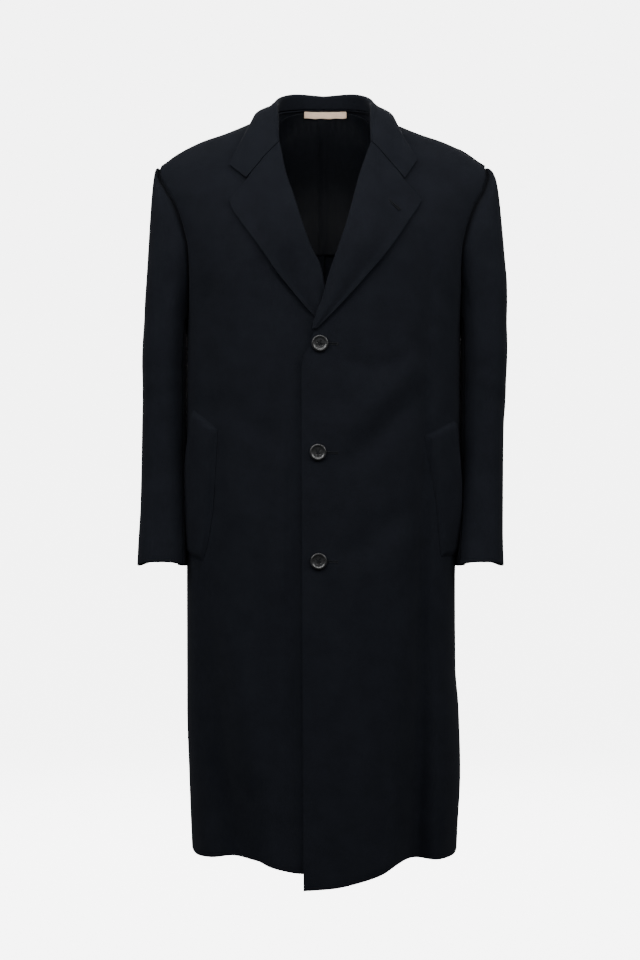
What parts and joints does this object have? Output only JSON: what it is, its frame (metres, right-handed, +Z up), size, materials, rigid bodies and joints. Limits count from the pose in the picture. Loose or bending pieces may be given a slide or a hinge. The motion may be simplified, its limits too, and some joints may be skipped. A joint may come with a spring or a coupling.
{
  "type": "wool overcoat",
  "caption": "Long single-breasted wool overcoat with notch lapels, slanted welt pockets and two-piece sleeves, filled out and hollow",
  "frame": {"origin": "on the wearer's middle line, level with where the neck meets the shoulders", "axes": "+Z up along the wearer's height, front faces -Y, +X towards the wearer's left"},
  "size_m": [0.5851, 0.301, 1.252],
  "materials": {
    "wool": "matte wool overcoating",
    "lining": "satin lining",
    "label": "matte woven tape",
    "button": "polished"
  },
  "bodies": {
    "root": {"back_left": "wool", "back_right": "wool", "front_left": "wool", "front_right": "wool", "lapel_left": "wool", "lapel_right": "wool", "welt_left": "wool", "welt_right": "wool", "sleeve_left_upper": "wool", "sleeve_left_under": "wool", "sleeve_right_upper": "wool", "sleeve_right_under": "wool", "collar": "wool", "lining_left": "lining", "lining_right": "lining", "label": "label", "button_top": "button", "button_middle": "button", "button_bottom": "button"}
  },
  "joints": []
}
